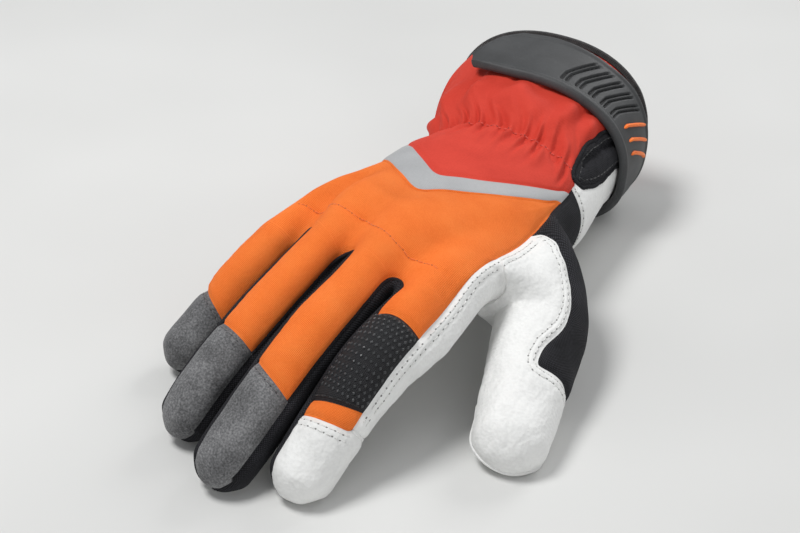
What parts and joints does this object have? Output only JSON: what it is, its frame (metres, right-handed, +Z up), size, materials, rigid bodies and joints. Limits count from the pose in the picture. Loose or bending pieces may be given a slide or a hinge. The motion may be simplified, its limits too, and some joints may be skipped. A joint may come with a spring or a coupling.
{
  "type": "chainsaw_glove",
  "caption": "A padded work glove for chainsaw use: orange cloth back, white leather palm and thumb, grey fingertip caps, red gathered cuff and a moulded wrist strap, lying palm down.",
  "frame": {"origin": "on the floor, under the middle of the box round the glove", "axes": "+Z up, +Y from the fingertips towards the cuff mouth, +X towards the thumb"},
  "size_m": [0.1474, 0.2616, 0.068],
  "materials": {
    "orange_back_cloth": "finely woven bright orange cloth over layered cut-resistant fibre",
    "red_cuff_cloth": "thin woven red cuff cloth, gathered by elastic",
    "reflective_cloth": "grey reflective tape with a fine weave",
    "dark_binding": "ribbed dark binding tape",
    "black_stretch_cloth": "black knitted stretch cloth",
    "touch_mesh": "black patch with raised diamond dots",
    "white_leather": "soft white grain leather",
    "grey_suede": "grey suede with a short nap",
    "strap_rubber": "matt moulded dark grey strap",
    "orange_rubber": "matt moulded orange bars"
  },
  "bodies": {
    "root": {"cuff_binding": "dark_binding", "cuff_back": "red_cuff_cloth", "reflective_band": "reflective_cloth", "back_panel": "orange_back_cloth", "cuff_palm": "white_leather", "palm_leather": "white_leather", "slit_gusset": "black_stretch_cloth", "thumb_back_panel": "black_stretch_cloth", "little_tip_cap": "grey_suede", "ring_tip_cap": "grey_suede", "middle_tip_cap": "grey_suede", "fourchette_little_ring": "black_stretch_cloth", "fourchette_ring_middle": "black_stretch_cloth", "fourchette_middle_index": "black_stretch_cloth", "touch_patch": "touch_mesh", "index_back_band": "orange_back_cloth", "index_tip_cap": "white_leather", "thumb_leather": "white_leather", "wrist_strap": "strap_rubber", "strap_rib_1": "orange_rubber", "strap_rib_2": "orange_rubber", "strap_rib_3": "orange_rubber"}
  },
  "joints": []
}
